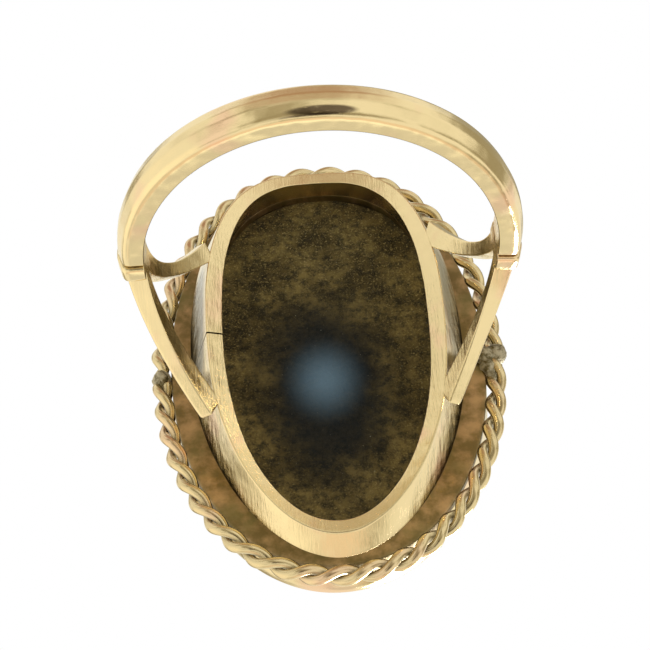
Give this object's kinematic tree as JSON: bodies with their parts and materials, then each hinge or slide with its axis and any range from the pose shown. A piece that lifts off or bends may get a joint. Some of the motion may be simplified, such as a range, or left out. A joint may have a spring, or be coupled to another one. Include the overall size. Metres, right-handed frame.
{
  "type": "cocktail ring",
  "caption": "Gold finger ring with forked shoulders, an open oval gallery, a twisted rope edging and a bezel-set oval agate.",
  "frame": {"origin": "centre of the finger hole, on its axis and half-way along it", "axes": "+Y along the finger, +Z from the finger to the stone, +X across the hand"},
  "size_m": [0.0198, 0.0272, 0.0246],
  "materials": {
    "yellow_gold": "polished 9 ct yellow gold with fine wear scratches",
    "tarnished_gold": "satin, brown with old tarnish",
    "solder": "dull grey, lumpy",
    "agate": "polished dark agate with a pale blue-grey eye, rough at the back"
  },
  "bodies": {
    "root": {"shank": "yellow_gold", "left_collar": "yellow_gold", "right_collar": "yellow_gold", "left_front_arm": "yellow_gold", "left_rear_arm": "yellow_gold", "right_front_arm": "yellow_gold", "right_rear_arm": "yellow_gold", "gallery_wall": "yellow_gold", "bezel_wall": "yellow_gold", "front_rope_strand_a": "yellow_gold", "front_rope_strand_b": "yellow_gold", "rear_rope_strand_a": "yellow_gold", "rear_rope_strand_b": "yellow_gold", "base_plate": "tarnished_gold", "left_rope_solder": "solder", "right_rope_solder": "solder", "agate_stone": "agate"}
  },
  "joints": []
}
